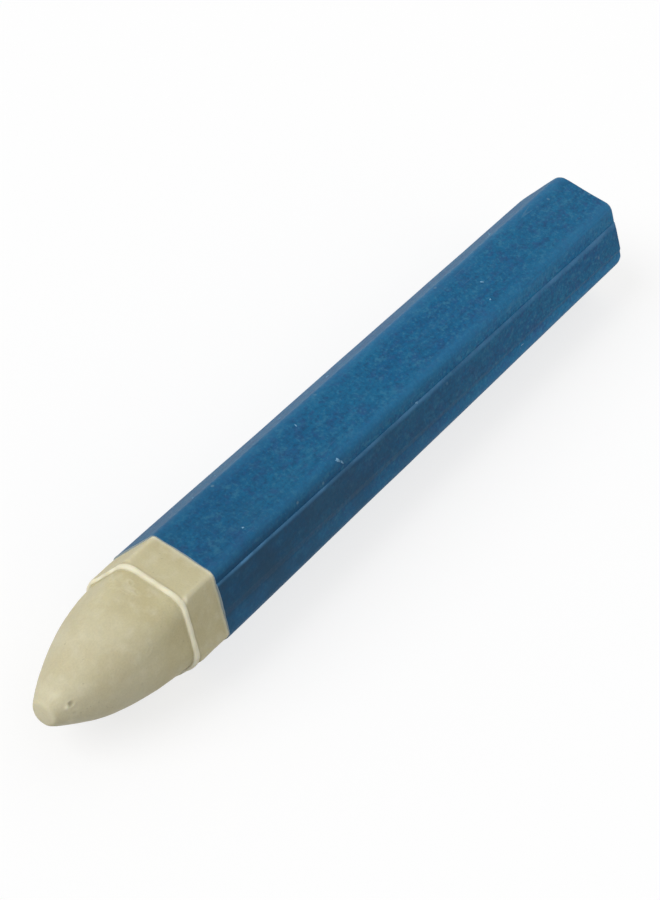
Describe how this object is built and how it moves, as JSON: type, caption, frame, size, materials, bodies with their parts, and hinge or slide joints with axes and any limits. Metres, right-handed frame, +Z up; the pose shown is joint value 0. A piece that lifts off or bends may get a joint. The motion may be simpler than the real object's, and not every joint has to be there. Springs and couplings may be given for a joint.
{
  "type": "tire marking crayon",
  "caption": "Hexagonal wax crayon with a shouldered ogive nose and a glued paper wrapper, for writing on tire rubber.",
  "frame": {"origin": "on the resting plane, under the middle of the crayon's length, with the crayon lying on one flat of its hexagon", "axes": "+Z up, X along the crayon's axis, with the nose towards -X and the flat rear end towards +X"},
  "size_m": [0.1168, 0.0158, 0.014],
  "materials": {
    "wax": "satin ivory wax",
    "paper": "semi-matte blue paper, rubbed and specked with wax"
  },
  "bodies": {
    "root": {"wax_stick": "wax", "paper_wrapper": "paper"}
  },
  "joints": []
}
